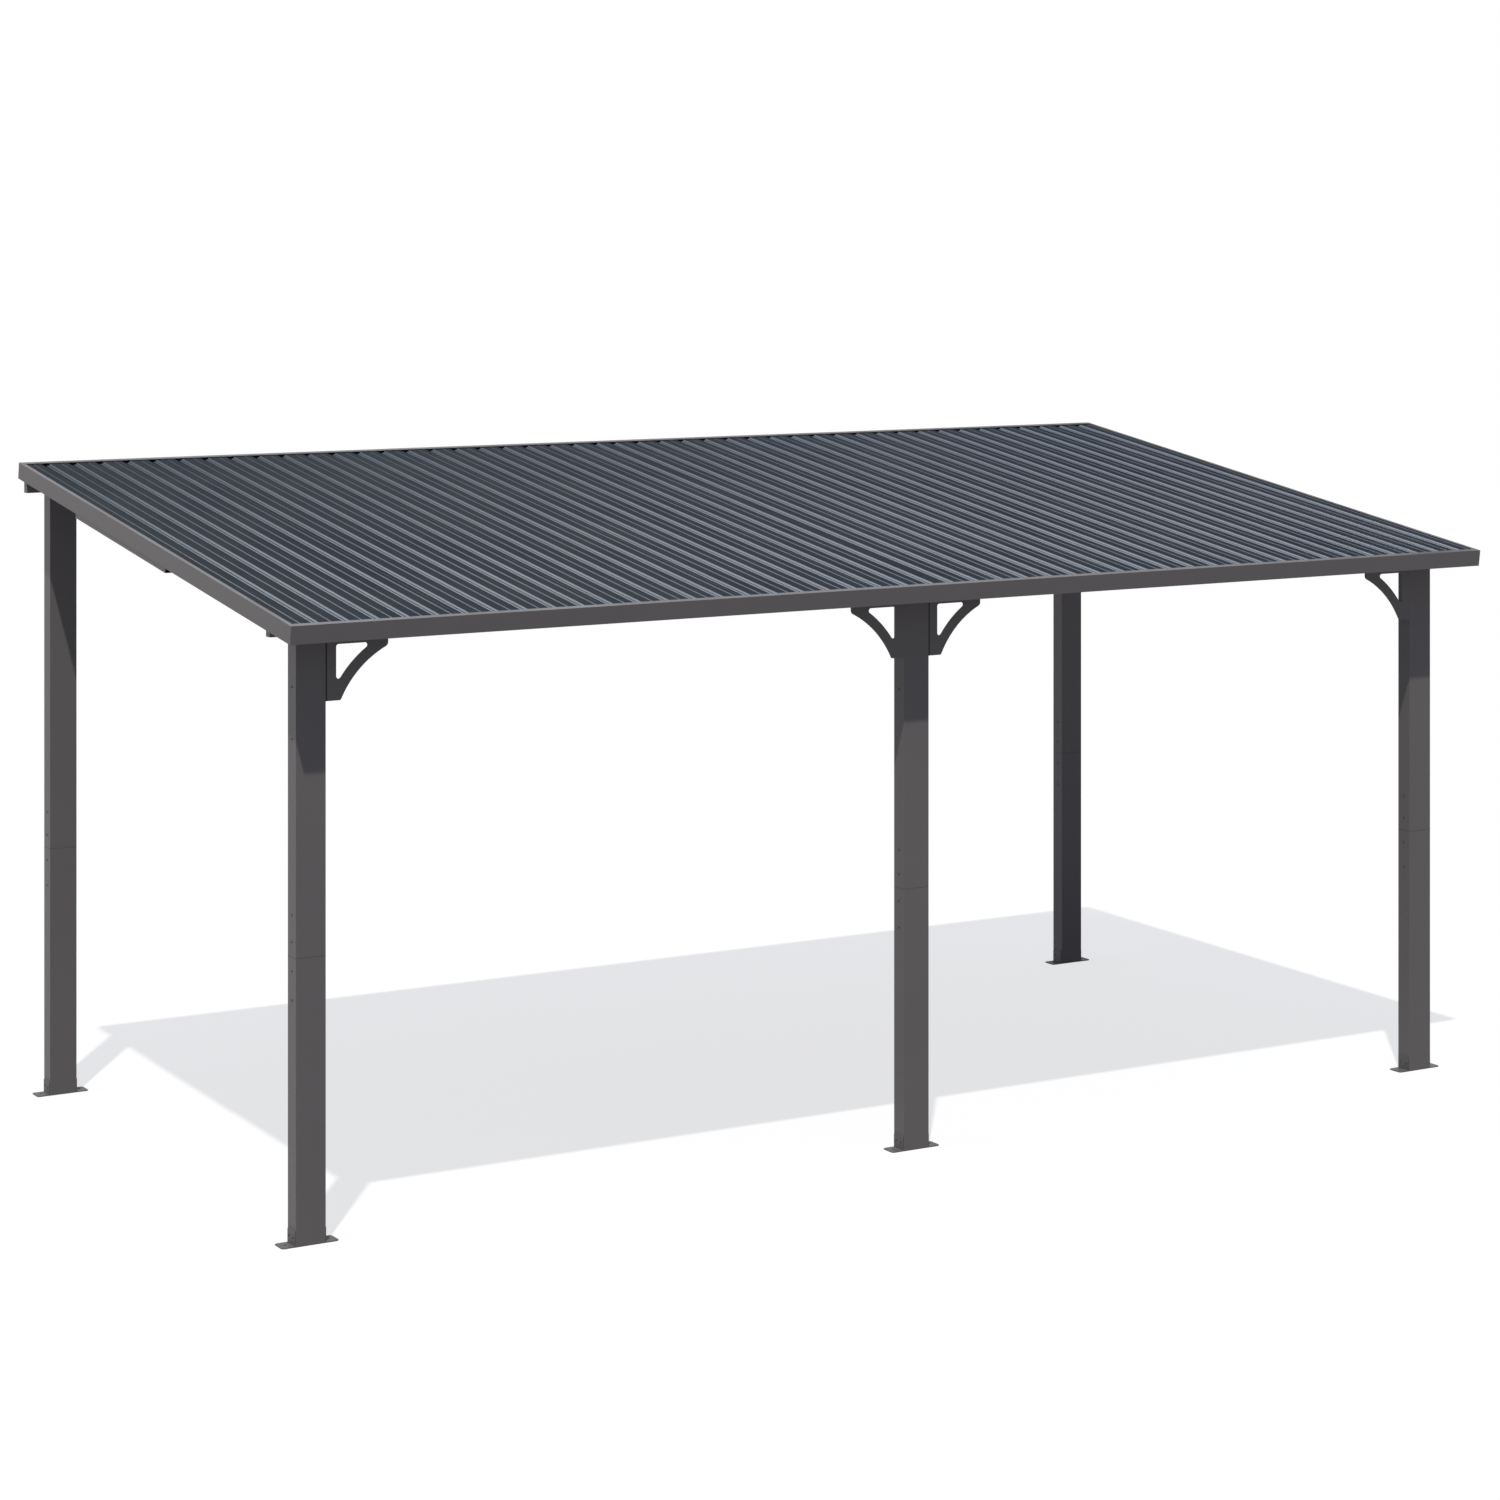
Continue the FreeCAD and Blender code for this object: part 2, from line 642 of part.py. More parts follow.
def make_brace(name, x, side):
    """A flat plate with an arched edge and an arched window, and two flanges folded back from it."""
    body = new_body(name)
    bind(body, "Placement.Base.x", x)
    bind(body, "Placement.Base.y", "front_face")
    bind(body, "Placement.Base.z", "front_post_top - brace_height")
    plate = rectangle("0", "0", f"{side} * brace_width", "brace_height")
    grow(body, "Pad", name + "_plate", outline(body, name + "_plan", "XZ_Plane", [plate]),
         "brace_sheet", reverse=True)

    arch = body.newObject("Sketcher::SketchObject", name + "_arch_circle")
    plane = next(p for p in body.Origin.OriginFeatures if p.Role == "XZ_Plane")
    arch.AttachmentSupport = [(plane, "")]
    arch.MapMode = "FlatFace"
    centre = FreeCAD.Vector(side * number("arch_x"), number("arch_z"), 0)
    arch.addGeometry(Part.Circle(centre, FreeCAD.Vector(0, 0, 1), number("brace_radius")))
    hold(arch, "Radius", 0, None, "brace_radius")
    hold(arch, "DistanceX", 0, 3, f"{side} * arch_x")
    hold(arch, "DistanceY", 0, 3, "arch_z")
    grow(body, "Pocket", name + "_arch", arch, "brace_sheet")

    window = body.newObject("Sketcher::SketchObject", name + "_window_outline")
    window.AttachmentSupport = [(plane, "")]
    window.MapMode = "FlatFace"
    inner = number("brace_radius + brace_strip")
    leg = number("brace_leg")
    arm = number("brace_height - brace_arm")
    low = number("arch_z") + (inner ** 2 - (number("arch_x") - leg) ** 2) ** 0.5
    far = number("arch_x") - (inner ** 2 - (arm - number("arch_z")) ** 2) ** 0.5
    foot = FreeCAD.Vector(side * leg, low, 0)
    corner = FreeCAD.Vector(side * leg, arm, 0)
    tip = FreeCAD.Vector(side * far, arm, 0)
    window.addGeometry(Part.LineSegment(foot, corner))
    window.addGeometry(Part.LineSegment(corner, tip))
    start, end = sorted(math.atan2(p.y - centre.y, p.x - centre.x) % math.tau for p in (foot, tip))
    circle = Part.Circle(centre, FreeCAD.Vector(0, 0, 1), inner)
    window.addGeometry(Part.ArcOfCircle(circle, start, end))
    window.addConstraint(Sketcher.Constraint("Coincident", 0, 2, 1, 1))
    tip_end, foot_end = (1, 2) if side > 0 else (2, 1)
    window.addConstraint(Sketcher.Constraint("Coincident", 1, 2, 2, tip_end))
    window.addConstraint(Sketcher.Constraint("Coincident", 2, foot_end, 0, 1))
    window.addConstraint(Sketcher.Constraint("Vertical", 0))
    window.addConstraint(Sketcher.Constraint("Horizontal", 1))
    hold(window, "DistanceX", 1, 1, f"{side} * brace_leg")
    hold(window, "DistanceY", 1, 1, "brace_height - brace_arm")
    hold(window, "Radius", 2, None, "brace_radius + brace_strip")
    hold(window, "DistanceX", 2, 3, f"{side} * arch_x")
    hold(window, "DistanceY", 2, 3, "arch_z")
    grow(body, "Pocket", name + "_window", window, "brace_sheet")

    def in_window(edge):
        return any(along_y_at(px, pz)(edge) for px, pz in ((leg, low), (leg, arm), (far, arm)))
    fillet_edges(body, name + "_window_corners", in_window, "window_corner")
    fillet_edges(body, name + "_foot_corner", along_y_at(number("brace_foot"), 0), "brace_corner")
    tip_corner = along_y_at(number("brace_width"), number("brace_height - brace_tip"))
    fillet_edges(body, name + "_tip_corner", tip_corner, "brace_tip_corner")
    folded = [
        ("0", "0"), (f"{side} * brace_sheet", "0"),
        (f"{side} * brace_sheet", "brace_height - brace_sheet"),
        (f"{side} * brace_width", "brace_height - brace_sheet"),
        (f"{side} * brace_width", "brace_height"), ("0", "brace_height"),
    ]
    grow(body, "Pad", name + "_flanges", outline(body, name + "_fold", "XZ_Plane", [folded]),
         "brace_flange", reverse=True)


def main():
    sleeves = []
    rows = (("front", "front_face", "front_post_top"), ("rear", "rear_face", "rear_post_top"))
    for row_name, face, top in rows:
        places = [("left", "-post_pitch"), ("middle", "0"), ("right", "post_pitch")]
        if row_name == "rear":
            places.pop(1)
        for place, x in places:
            sleeves.append(make_post(f"{row_name}_{place}_post", x, face, top))
            make_foot(f"{row_name}_{place}_foot", x, face)
        height = f"{row_name}_header_height"
        for place, side in (("left", -1), ("right", 1)):
            make_header(f"{row_name}_{place}_header", side, face, top, height)
    gather("post_sleeves", sleeves)
    make_splice("rear_header_splice", "rear_face", "rear_post_top", "rear_header_height")
    for place, x in (("left", "-post_pitch"), ("middle", "0"), ("right", "post_pitch")):
        make_rafter(f"{place}_rafter", x)
    for row_name, low_edge in (("front", "front_purlin_y"),
                               ("rear", "rear_purlin_y - purlin_width")):
        gather(f"{row_name}_purlins", [
            make_purlin(f"{row_name}_{place}_purlin", side, low_edge)
            for place, side in (("left", -1), ("right", 1))])
    for place, side in (("left", -1), ("right", 1)):
        make_outrigger(f"{place}_outrigger", side)
        make_side_fascia(f"{place}_fascia", side)
    make_front_or_rear_fascia("front_fascia", "0", "1", "front_flange")
    make_front_or_rear_fascia("rear_fascia", "roof_depth", "-1", "rear_flange")
    for name, x, side in (
        ("front_left_brace", "-post_pitch + post_width / 2", 1),
        ("front_middle_left_brace", "-post_width / 2", -1),
        ("front_middle_right_brace", "post_width / 2", 1),
        ("front_right_brace", "post_pitch - post_width / 2", -1),
    ):
        make_brace(name, x, side)
    count = round(number("panel_count"))
    for index in range(count):
        make_panel(index, count)


def write_parts():
    """Check every object, then write one file for each part."""
    DOC.recompute()
    for thing in DOC.Objects:
        if "Invalid" in thing.State or "Error" in thing.State:
            raise RuntimeError(f"{thing.Name} failed: {thing.State}")
    for part in PARTS:
        if part.Shape.isNull() or not part.Shape.isValid():
            raise RuntimeError(f"{part.Label} has no valid shape")
    os.makedirs("parts", exist_ok=True)
    for part in PARTS:
        part.Shape.exportStep(f"parts/{part.Label}.step")
        box = part.Shape.BoundBox
        print(part.Label, len(part.Shape.Solids), round(part.Shape.Volume / 1000),
              [round(v, 1) for v in (box.XMin, box.XMax, box.YMin, box.YMax, box.ZMin, box.ZMax)])


main()
write_parts()
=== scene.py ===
# %% [markdown]
# A lean-to hardtop gazebo: five rectangular posts, headers, rafters and purlins under one sloping
# roof of profiled sheets with a folded trim round it. The tubes, trims, braces, feet and sheets
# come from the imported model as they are. This file gives each of them its paint, adds the small
# fittings that the solids leave out, and sets up the camera, the floor and the light.

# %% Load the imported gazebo
import json
import math

import bmesh
import bpy
from mathutils import Matrix, Vector


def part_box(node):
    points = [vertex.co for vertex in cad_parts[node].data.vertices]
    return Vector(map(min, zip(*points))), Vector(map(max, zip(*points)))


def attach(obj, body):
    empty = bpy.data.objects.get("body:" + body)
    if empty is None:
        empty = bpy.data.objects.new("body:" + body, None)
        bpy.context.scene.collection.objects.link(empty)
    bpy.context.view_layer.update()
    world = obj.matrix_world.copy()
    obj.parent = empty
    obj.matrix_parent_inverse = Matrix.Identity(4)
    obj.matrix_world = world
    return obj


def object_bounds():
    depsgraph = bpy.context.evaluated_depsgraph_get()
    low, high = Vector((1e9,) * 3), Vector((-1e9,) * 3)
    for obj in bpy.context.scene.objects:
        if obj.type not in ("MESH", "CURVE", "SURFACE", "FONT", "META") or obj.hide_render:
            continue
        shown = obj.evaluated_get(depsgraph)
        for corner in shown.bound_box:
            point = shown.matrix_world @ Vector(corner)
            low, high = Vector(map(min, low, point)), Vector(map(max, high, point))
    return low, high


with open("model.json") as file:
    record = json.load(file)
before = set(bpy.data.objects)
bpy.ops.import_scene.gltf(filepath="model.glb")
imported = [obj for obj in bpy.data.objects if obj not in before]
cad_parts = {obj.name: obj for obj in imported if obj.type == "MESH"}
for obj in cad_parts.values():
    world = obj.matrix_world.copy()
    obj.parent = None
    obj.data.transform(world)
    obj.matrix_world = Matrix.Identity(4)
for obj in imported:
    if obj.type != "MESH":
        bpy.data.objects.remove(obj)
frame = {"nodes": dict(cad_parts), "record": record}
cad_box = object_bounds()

scene = bpy.context.scene
nodes = frame["nodes"]
print("nodes:", len(nodes), "box:", [[round(v, 3) for v in corner] for corner in cad_box])

# %% [markdown]
# The camera stands to the left of the low front side, about four metres above the ground, and
# looks level towards the rear right. The picture keeps upright posts parallel, as a shift lens
# does. Tilting the camera would make them lean together, so it stays level, and the lens shift
# moves the frame down instead. The focal length, the horizon and the turn were solved from the
# straight edges of the posts and the roof.

# %% Camera
IMAGE_WIDTH = 1500
FOCAL_PIXELS = 3626.07
HORIZON_PIXEL = 204.39
SENSOR_WIDTH = 36.0
CAMERA_YAW = math.radians(30.5808)
CAMERA_SPOT = (-8.099, -13.642, 3.85)
FARTHEST_SEEN = 200.0

camera_data = bpy.data.cameras.new("viewing_camera")
camera_data.sensor_width = SENSOR_WIDTH
camera_data.lens = SENSOR_WIDTH * FOCAL_PIXELS / IMAGE_WIDTH
camera_data.shift_y = -(IMAGE_WIDTH / 2 - HORIZON_PIXEL) / IMAGE_WIDTH
camera_data.clip_end = FARTHEST_SEEN
camera = bpy.data.objects.new("viewing_camera", camera_data)
camera.location = CAMERA_SPOT
camera.rotation_euler = (math.radians(90), 0, -CAMERA_YAW)
scene.collection.objects.link(camera)
scene.camera = camera
print("lens:", round(camera_data.lens, 2), "shift:", round(camera_data.shift_y, 4))

# %% [markdown]
# Every finish here is made of nodes, and the same few moves come back in each: make a node and
# set its unlinked inputs, join two sockets, map a value from one range to another, mix two
# colours. A small helper for each keeps the cells below short. An input is set by its name, with
# an underscore for each space, or by its number where a node has several of one name.

# %% Helpers for shader nodes
def add_node(tree, kind, **settings):
    """A new node with its properties and unlinked inputs set."""
    node = tree.nodes.new(kind)
    for name, value in settings.items():
        if name.startswith("in_"):
            key = name[3:]
            node.inputs[int(key) if key.isdigit() else key.replace("_", " ")].default_value = value
        else:
            setattr(node, name, value)
    return node


def join(tree, source, target):
    """Link an output to an input."""
    tree.links.new(source, target)


def ramp(tree, low, high, low_value, high_value):
    """A linear change from one value to another, held at both ends."""
    return add_node(tree, "ShaderNodeMapRange", clamp=True, in_1=low, in_2=high,
                    in_3=low_value, in_4=high_value)


def position(tree):
    """The place of the shaded point, in metres."""
    return add_node(tree, "ShaderNodeNewGeometry").outputs["Position"]


def blend_colour(tree, mask, first, second):
    """Mix two colours by a mask; each may be an output or a plain colour."""
    mix = add_node(tree, "ShaderNodeMix", data_type="RGBA")
    join(tree, mask, mix.inputs[0])
    for source, socket in ((first, mix.inputs[6]), (second, mix.inputs[7])):
        if isinstance(source, tuple):
            socket.default_value = source
        else:
            join(tree, source, socket)
    return mix.outputs[2]


def new_material(name, roughness=None, specular=None):
    """An empty material, its node tree and its Principled shader."""
    material = bpy.data.materials.new(name)
    material.use_nodes = True
    shader = material.node_tree.nodes["Principled BSDF"]
    if roughness is not None:
        shader.inputs["Roughness"].default_value = roughness
    if specular is not None:
        shader.inputs["Specular IOR Level"].default_value = specular
    return material, material.node_tree, shader


print("helpers ready")

# %% [markdown]
# Paint on sheet metal is never quite even. Powder coat has a fine orange peel, and its tone
# drifts a little from one stretch of tube to the next. A photograph of real paint could show
# that, but noise textures do it at any distance and need no file. Several finishes share the
# effect, so it is one shader node group with inputs for its scale and strength. It puts out a
# tone to multiply the colour with, a change in roughness and a height for the bump.

# %% The orange peel and tone drift of a sprayed coat
def build_coat_group():
    """Noise at two scales: a fine one for the peel and a broad one for the drift."""
    group = bpy.data.node_groups.new("sprayed_coat", "ShaderNodeTree")
    for name, value in (("Peel Scale", 900.0), ("Drift Scale", 1.6), ("Drift Amount", 0.08)):
        socket = group.interface.new_socket(name=name, in_out="INPUT", socket_type="NodeSocketFloat")
        socket.default_value = value
    for name in ("Tone", "Roughness Change", "Height"):
        group.interface.new_socket(name=name, in_out="OUTPUT", socket_type="NodeSocketFloat")
    entry = add_node(group, "NodeGroupInput")
    leave = add_node(group, "NodeGroupOutput")
    place = position(group)
    peel = add_node(group, "ShaderNodeTexNoise", in_Detail=3.0, in_Roughness=0.55)
    drift = add_node(group, "ShaderNodeTexNoise", in_Detail=4.0, in_Roughness=0.6)
    join(group, place, peel.inputs["Vector"])
    join(group, place, drift.inputs["Vector"])
    join(group, entry.outputs["Peel Scale"], peel.inputs["Scale"])
    join(group, entry.outputs["Drift Scale"], drift.inputs["Scale"])
    centred = add_node(group, "ShaderNodeMath", operation="SUBTRACT", in_1=0.5)
    join(group, drift.outputs["Fac"], centred.inputs[0])
    scaled = add_node(group, "ShaderNodeMath", operation="MULTIPLY")
    join(group, centred.outputs[0], scaled.inputs[0])
    join(group, entry.outputs["Drift Amount"], scaled.inputs[1])
    tone = add_node(group, "ShaderNodeMath", operation="MULTIPLY_ADD", in_1=2.0, in_2=1.0)
    join(group, scaled.outputs[0], tone.inputs[0])
    join(group, tone.outputs[0], leave.inputs["Tone"])
    join(group, scaled.outputs[0], leave.inputs["Roughness Change"])
    join(group, peel.outputs["Fac"], leave.inputs["Height"])
    return group


sprayed_coat = build_coat_group()
print("group:", sprayed_coat.name, [s.name for s in sprayed_coat.interface.items_tree])

# %% [markdown]
# Outdoors, a little dust settles on faces that look up, in soft patches, and none on the sides.
# The roof and the feet show it, so it is a second group. On the trims of the frame, the same mask
# lays painted sheen and painted shade instead of dust. It could be painted on by hand, but the
# face's own direction already says where dust lies, and a noise breaks it up.

# %% Settled dust, and painted sheen, on faces that look up
FACES_UP_FROM, FACES_UP_TO = 0.6, 0.98
PATCHES_FROM, PATCHES_TO = 0.35, 0.75


def build_dust_group():
    """A mask for dust, and on the frame for painted sheen: upward faces times soft patches, up to an
    amount.
    """
    group = bpy.data.node_groups.new("dust_and_sheen", "ShaderNodeTree")
    for name, value in (("Patch Scale", 3.0), ("Amount", 0.1)):
        socket = group.interface.new_socket(name=name, in_out="INPUT", socket_type="NodeSocketFloat")
        socket.default_value = value
    group.interface.new_socket(name="Mask", in_out="OUTPUT", socket_type="NodeSocketFloat")
    entry = add_node(group, "NodeGroupInput")
    leave = add_node(group, "NodeGroupOutput")
    place = add_node(group, "ShaderNodeNewGeometry")
    parts = add_node(group, "ShaderNodeSeparateXYZ")
    join(group, place.outputs["Normal"], parts.inputs[0])
    upward = ramp(group, FACES_UP_FROM, FACES_UP_TO, 0.0, 1.0)
    join(group, parts.outputs["Z"], upward.inputs["Value"])
    patches = add_node(group, "ShaderNodeTexNoise", in_Detail=6.0, in_Roughness=0.65)
    join(group, place.outputs["Position"], patches.inputs["Vector"])
    join(group, entry.outputs["Patch Scale"], patches.inputs["Scale"])
    broken = ramp(group, PATCHES_FROM, PATCHES_TO, 0.0, 1.0)
    join(group, patches.outputs["Fac"], broken.inputs["Value"])
    both = add_node(group, "ShaderNodeMath", operation="MULTIPLY")
    join(group, upward.outputs[0], both.inputs[0])
    join(group, broken.outputs[0], both.inputs[1])
    mask = add_node(group, "ShaderNodeMath", operation="MULTIPLY", use_clamp=True)
    join(group, both.outputs[0], mask.inputs[0])
    join(group, entry.outputs["Amount"], mask.inputs[1])
    join(group, mask.outputs[0], leave.inputs["Mask"])
    return group


dust_and_sheen = build_dust_group()
print("group:", dust_and_sheen.name)

# %% [markdown]
# All three painted finishes are built the same way. Each has a base colour, multiplied by the coat's
# drift, with a little dust over it (on the frame, painted sheen and painted shade instead). Each
# then has a roughness that drifts with the tone, and a very fine bump. The two helpers below wire
# that once, so each finish is only its own numbers. Peel, drift and dust-and-sheen are pairs: a
# scale, and a strength.

# %% A painted finish
DUST_COLOUR = (0.36, 0.35, 0.34, 1.0)
ROUGHER_WITH_DRIFT = 1.2
ROUGHER_WITH_DUST_AND_SHEEN = 0.5
PEEL_HEIGHT = 0.0004


def painted_finish(name, roughness, specular, peel, drift, dust_and_sheen_pair):
    """A Principled material with the coat and the dust-and-sheen groups in place, and its loose
    ends.
    """
    material, tree, shader = new_material(name, specular=specular)
    coat = add_node(tree, "ShaderNodeGroup", node_tree=sprayed_coat, in_Peel_Scale=peel[0],
                    in_Drift_Scale=drift[0], in_Drift_Amount=drift[1])
    dust_and_sheen_node = add_node(tree, "ShaderNodeGroup", node_tree=dust_and_sheen, in_Patch_Scale=dust_and_sheen_pair[0],
                    in_Amount=dust_and_sheen_pair[1])
    rough = add_node(tree, "ShaderNodeMath", operation="MULTIPLY_ADD", in_1=ROUGHER_WITH_DRIFT,
                     in_2=roughness)
    join(tree, coat.outputs["Roughness Change"], rough.inputs[0])
    dust_and_sheen_rough = add_node(tree, "ShaderNodeMath", operation="MULTIPLY_ADD", in_1=ROUGHER_WITH_DUST_AND_SHEEN)
    join(tree, dust_and_sheen_node.outputs["Mask"], dust_and_sheen_rough.inputs[0])
    join(tree, rough.outputs[0], dust_and_sheen_rough.inputs[2])
    join(tree, dust_and_sheen_rough.outputs[0], shader.inputs["Roughness"])
    bump = add_node(tree, "ShaderNodeBump", in_Strength=peel[1], in_Distance=PEEL_HEIGHT)
    join(tree, coat.outputs["Height"], bump.inputs["Height"])
    join(tree, bump.outputs["Normal"], shader.inputs["Normal"])
    return material, tree, shader, coat, dust_and_sheen_node


def finish_colour(tree, shader, coat, mask, colour, upward_colour=DUST_COLOUR):
    """Drift, then what lies on faces that look up (dust; on the frame painted sheen and shade), over
    a colour.
    """
    toned = add_node(tree, "ShaderNodeVectorMath", operation="SCALE")
    if isinstance(colour, tuple):
        toned.inputs[0].default_value = colour[:3]
    else:
        join(tree, colour, toned.inputs[0])
    join(tree, coat.outputs["Tone"], toned.inputs["Scale"])
    join(tree, blend_colour(tree, mask, toned.outputs[0], upward_colour), shader.inputs["Base Color"])


print("groups in each painted finish:", sprayed_coat.name, dust_and_sheen.name)

# %% [markdown]
# The frame is aluminium tube with a charcoal powder coat: a warm dark grey with a satin sheen
# that brightens along faces seen at a low angle. Faces that look up, which are mainly the trims'
# flanges, get painted light in patches: a pale painted sheen at the roof's left end and a dark
# painted shade at its right. One even tone would be simpler, but those flanges draw the roof's
# outline, so the painted sheen and shade change along the roof, by the point's own place.

# %% Charcoal powder coat
FRAME_GREY = (0.119, 0.110, 0.1065, 1.0)
SHEEN_GREY = (0.34, 0.36, 0.40, 1.0)
SHADED_TOP_GREY = (0.045, 0.048, 0.055, 1.0)
SHEEN_LEFT, SHEEN_RIGHT = -2.8, 2.8
SHEEN_AT_LEFT, SHEEN_GAIN = 0.9, 1.1

frame_paint, tree, shader, coat, dust_and_sheen_node = painted_finish(
    "charcoal_powder_coat", roughness=0.44, specular=0.16, peel=(900.0, 0.12),
    drift=(1.3, 0.10), dust_and_sheen_pair=(3.0, 0.5))
# Painted sheen and painted shade on upward faces: pale at the left, dark at the right, by X.
along = add_node(tree, "ShaderNodeSeparateXYZ")
join(tree, position(tree), along.inputs[0])
to_right = ramp(tree, SHEEN_LEFT, SHEEN_RIGHT, 0.0, 1.0)
join(tree, along.outputs["X"], to_right.inputs["Value"])
sheen_strength = add_node(tree, "ShaderNodeMath", operation="MULTIPLY_ADD", in_1=SHEEN_GAIN,
                   in_2=SHEEN_AT_LEFT)
join(tree, to_right.outputs[0], sheen_strength.inputs[0])
painted_sheen = add_node(tree, "ShaderNodeMath", operation="MULTIPLY", use_clamp=True)
join(tree, dust_and_sheen_node.outputs["Mask"], painted_sheen.inputs[0])
join(tree, sheen_strength.outputs[0], painted_sheen.inputs[1])
upward_colour = blend_colour(tree, to_right.outputs[0], SHEEN_GREY, SHADED_TOP_GREY)
finish_colour(tree, shader, coat, painted_sheen.outputs[0], FRAME_GREY, upward_colour)
print("finish:", frame_paint.name)

# %% [markdown]
# The feet are folded steel with the same kind of coat. It is sprayed thinner on such small
# pieces, which stand in the dirt, so it is a shade darker and rougher, and both its drift and
# its dust are finer than on the long tubes.

# %% Charcoal coat of the feet
FOOT_GREY = (0.098, 0.092, 0.090, 1.0)

foot_paint, tree, shader, coat, dust_and_sheen_node = painted_finish(
    "charcoal_foot_coat", roughness=0.52, specular=0.22, peel=(700.0, 0.2),
    drift=(9.0, 0.16), dust_and_sheen_pair=(22.0, 0.05))
finish_colour(tree, shader, coat, dust_and_sheen_node.outputs["Mask"], FOOT_GREY)
print("finish:", foot_paint.name)

# %% [markdown]
# Forty-six channels are rolled into the roof sheets, with a small groove in each pan between
# them. The grooves' flanks get less of the painted highlight than the channels', and the
# channels' ends need closures, so the lines of both are worked out here once. The pitch is even,
# apart from a narrower one at the middle of the roof. The mask could come from a texture, but the
# same sums in a node group are exact: where the point lies in its own pitch says whether it is on
# a groove.

# %% Where the channels and grooves run
ROOF_HALF_LENGTH = 2.843
CHANNEL_EDGE = 0.108
CHANNEL_PITCH = 0.1223
MIDDLE_PITCH = 0.0982
LAST_LEFT = 22
CHANNELS = 46
GROOVE_SET = 0.066
GROOVE_REACH = 0.020

channel_lines = [-ROOF_HALF_LENGTH + CHANNEL_EDGE + i * CHANNEL_PITCH
                 - (CHANNEL_PITCH - MIDDLE_PITCH if i > LAST_LEFT else 0) for i in range(CHANNELS)]
print("channels:", len(channel_lines), "last at", round(channel_lines[-1], 4))


def build_groove_group():
    """A mask that is one along the pans' small grooves and nought along the channels."""
    group = bpy.data.node_groups.new("groove_places", "ShaderNodeTree")
    group.interface.new_socket(name="Mask", in_out="OUTPUT", socket_type="NodeSocketFloat")
    leave = add_node(group, "NodeGroupOutput")
    parts = add_node(group, "ShaderNodeSeparateXYZ")
    join(group, position(group), parts.inputs[0])
    past_middle = add_node(group, "ShaderNodeMath", operation="GREATER_THAN",
                           in_1=channel_lines[LAST_LEFT] + MIDDLE_PITCH / 2)
    join(group, parts.outputs["X"], past_middle.inputs[0])
    closed_up = add_node(group, "ShaderNodeMath", operation="MULTIPLY_ADD",
                         in_1=CHANNEL_PITCH - MIDDLE_PITCH)
    join(group, past_middle.outputs[0], closed_up.inputs[0])
    join(group, parts.outputs["X"], closed_up.inputs[2])
    in_pitches = add_node(group, "ShaderNodeMath", operation="MULTIPLY_ADD", in_1=1 / CHANNEL_PITCH,
                          in_2=-channel_lines[0] / CHANNEL_PITCH)
    join(group, closed_up.outputs[0], in_pitches.inputs[0])
    along = add_node(group, "ShaderNodeMath", operation="FRACT")
    join(group, in_pitches.outputs[0], along.inputs[0])
    near_groove = add_node(group, "ShaderNodeMath", operation="COMPARE",
                           in_1=GROOVE_SET / CHANNEL_PITCH, in_2=GROOVE_REACH / CHANNEL_PITCH)
    join(group, along.outputs[0], near_groove.inputs[0])
    join(group, near_groove.outputs[0], leave.inputs["Mask"])
    return group


groove_places = build_groove_group()
print("group:", groove_places.name)

# %% [markdown]
# The roof sheets are coil-coated steel in blue-grey. Their wide pans are dark and matt. The sloping
# flanks of each rolled channel and groove get a painted highlight, a much paler blue that stands
# for the light they catch, which draws the fine pairs of lines that run up the roof. Two materials
# on the sheets would need their faces sorted, so one material picks the flanks by the direction of
# the face itself: on a pan the normal has no X part, and on a flank it has a large one. Painted
# shade is laid over this by place. The flanks' painted highlight fades up the slope, most of all at
# the left. The pans are painted darker towards the right, and the grooves' flanks lose more of the
# highlight there.

# %% Blue-grey coil-coated sheet
PAN_BLUE = (0.009, 0.014, 0.021, 1.0)
SHADED_FAR_PAN_BLUE = (0.0, 0.004, 0.012, 1.0)
FLANK_HIGHLIGHT_BLUE = (0.248, 0.272, 0.298, 1.0)
HIGH_FLANK_BLUE = (0.108, 0.125, 0.143, 1.0)
FAR_HIGH_FLANK_BLUE = (0.165, 0.192, 0.220, 1.0)
GROOVE_HIGHLIGHT_CUT = 0.30
FAR_GROOVE_HIGHLIGHT_CUT = 0.50
FLANK_LEAN_FROM, FLANK_LEAN_TO = 0.25, 0.6
FLANK_SHADE_FROM, FLANK_SHADE_TO = -0.9, 1.5
RIGHTWARD_SHADE_FROM, RIGHTWARD_SHADE_TO = -1.5, 2.2

roof_paint, tree, shader, coat, dust_and_sheen_node = painted_finish(
    "blue_grey_coil_coat", roughness=0.6, specular=0.035, peel=(500.0, 0.06),
    drift=(0.9, 0.12), dust_and_sheen_pair=(2.2, 0.035))
facing = add_node(tree, "ShaderNodeNewGeometry")
facing_parts = add_node(tree, "ShaderNodeSeparateXYZ")
join(tree, facing.outputs["True Normal"], facing_parts.inputs[0])
sideways = add_node(tree, "ShaderNodeMath", operation="ABSOLUTE")
join(tree, facing_parts.outputs["X"], sideways.inputs[0])
# Painted highlight: flanks, found by a large X part in the face normal, take a much paler blue.
flank_highlight = ramp(tree, FLANK_LEAN_FROM, FLANK_LEAN_TO, 0.0, 1.0)
join(tree, sideways.outputs[0], flank_highlight.inputs["Value"])
spot_parts = add_node(tree, "ShaderNodeSeparateXYZ")
join(tree, facing.outputs["Position"], spot_parts.inputs[0])
